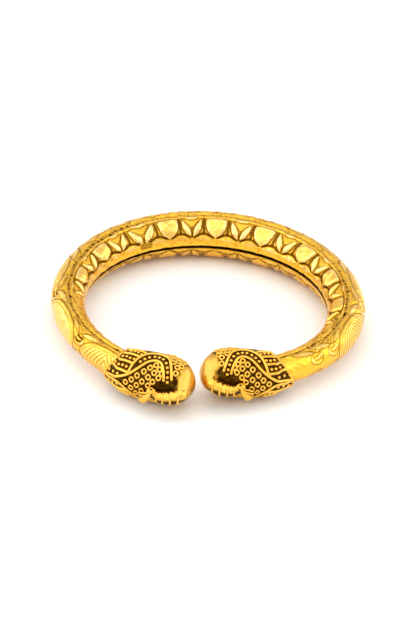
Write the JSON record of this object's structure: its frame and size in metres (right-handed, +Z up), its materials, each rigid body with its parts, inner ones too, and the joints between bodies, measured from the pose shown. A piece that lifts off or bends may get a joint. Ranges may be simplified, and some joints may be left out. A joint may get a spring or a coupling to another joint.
{
  "type": "kada bangle",
  "caption": "Open hoop bangle: a chased hollow tube with cast bird's-head finials facing each other across a narrow gap.",
  "frame": {"origin": "under the middle of the bangle, on the surface it lies on", "axes": "+Z up, square to the hoop's plane; the gap between the finials faces -Y; +X to the right finial"},
  "size_m": [0.078, 0.084, 0.0119],
  "materials": {
    "chased_gold": "gold plated, chased and polished",
    "antique_gold": "gold plated, polished with darkened recesses"
  },
  "bodies": {
    "root": {"band": "chased_gold", "left_finial": "antique_gold", "right_finial": "antique_gold"}
  },
  "joints": []
}
